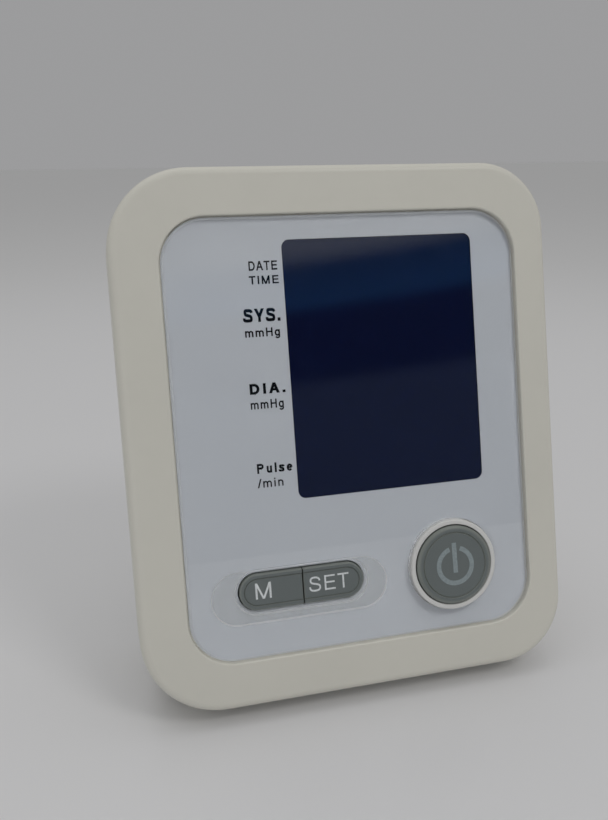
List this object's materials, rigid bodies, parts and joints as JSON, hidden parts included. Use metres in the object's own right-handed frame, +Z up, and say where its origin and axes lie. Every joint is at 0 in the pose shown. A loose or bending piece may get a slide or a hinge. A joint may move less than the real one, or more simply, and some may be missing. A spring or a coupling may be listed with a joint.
{
  "type": "upper-arm blood pressure monitor main unit",
  "caption": "Desktop main unit of an automatic upper-arm blood pressure monitor with a display window, a round power key, memory and set keys, cuff air socket and battery bay.",
  "frame": {"origin": "centre of the bounding box on the surface the unit stands on", "axes": "+Z up, face towards -Y leaning back 14 degrees, +X to the right of the face"},
  "size_m": [0.1172, 0.0756, 0.1382],
  "materials": {
    "case_plastic": "satin moulded cream plastic",
    "clear_plastic": "clear polished acrylic",
    "print": "pale blue-grey printed sheet",
    "tape": "foam tape",
    "lcd": "dark blue display glass",
    "white_plastic": "white moulded plastic",
    "light_guide": "opal light guide",
    "contact_rubber": "striped contact rubber",
    "key_plastic": "satin grey-green plastic",
    "switch_plastic": "black plastic",
    "board": "green solder mask",
    "black_plastic": "black plastic",
    "capacitor": "sleeved can",
    "screw_steel": "zinc plated steel",
    "motor_steel": "drawn steel can",
    "foam_rubber": "black rubber sleeve",
    "tube_rubber": "translucent silicone tube",
    "cell_jacket": "plain sleeved cell",
    "contact_steel": "nickel plated steel",
    "rear_plastic": "satin moulded cream plastic",
    "feet_rubber": "grey rubber",
    "socket_plastic": "dark grey plastic"
  },
  "bodies": {
    "case": {"aa_cells": "cell_jacket", "air_manifold": "white_plastic", "air_socket": "socket_plastic", "battery_plates": "contact_steel", "battery_springs": "contact_steel", "board_capacitors": "capacitor", "board_screws": "screw_steel", "buzzer": "black_plastic", "case_screws": "screw_steel", "dc_jack": "socket_plastic", "dc_jack_pin": "contact_steel", "deflation_valve": "motor_steel", "front_case": "case_plastic", "lcd_backlight": "light_guide", "lcd_cell": "lcd", "lcd_holder": "white_plastic", "lcd_zebra_strips": "contact_rubber", "lens_panel": "clear_plastic", "lens_tape": "tape", "main_board": "board", "memory_switch": "switch_plastic", "microcontroller": "black_plastic", "panel_print": "print", "power_switch": "switch_plastic", "pressure_sensor": "black_plastic", "pump_head": "black_plastic", "pump_motor": "motor_steel", "pump_sleeve": "foam_rubber", "pump_tube": "tube_rubber", "rear_feet": "feet_rubber", "rear_housing": "rear_plastic", "sensor_tube": "tube_rubber", "set_switch": "switch_plastic", "socket_tube": "tube_rubber", "valve_tube": "tube_rubber", "wire_headers": "white_plastic"},
    "power_key": {"power_button": "key_plastic", "power_switch_stem": "white_plastic"},
    "memory_key": {"memory_button": "key_plastic", "memory_switch_stem": "white_plastic"},
    "set_key": {"set_button": "key_plastic", "set_switch_stem": "white_plastic"},
    "door": {"battery_door": "rear_plastic"},
    "pump_rotor": {"motor_shaft": "motor_steel", "pump_crank": "white_plastic"},
    "valve_core": {"valve_plunger": "motor_steel"}
  },
  "joints": [
    {"name": "power_press", "type": "slide", "parent": "case", "child": "power_key", "axis": [0, 0.9703, -0.2419], "range_m": [0, 0.0008], "stiffness_N_per_m": 400, "springref_m": -0.0012},
    {"name": "memory_press", "type": "slide", "parent": "case", "child": "memory_key", "axis": [0, 0.9703, -0.2419], "range_m": [0, 0.0008], "stiffness_N_per_m": 400, "springref_m": -0.0012},
    {"name": "set_press", "type": "slide", "parent": "case", "child": "set_key", "axis": [0, 0.9703, -0.2419], "range_m": [0, 0.0008], "stiffness_N_per_m": 400, "springref_m": -0.0012},
    {"name": "door_hinge", "type": "hinge", "parent": "case", "child": "door", "pos_m": [0, 0.00856, 0.00638], "axis": [-1, 0, 0], "range_deg": [0, 75]},
    {"name": "pump_spin", "type": "hinge", "parent": "case", "child": "pump_rotor", "pos_m": [0, 0.01336, 0.09588], "axis": [1, 0, 0], "continuous": true},
    {"name": "valve_pull", "type": "slide", "parent": "case", "child": "valve_core", "axis": [0, -0.2419, -0.9703], "range_m": [0, 0.0006], "stiffness_N_per_m": 60, "springref_m": -0.001}
  ]
}
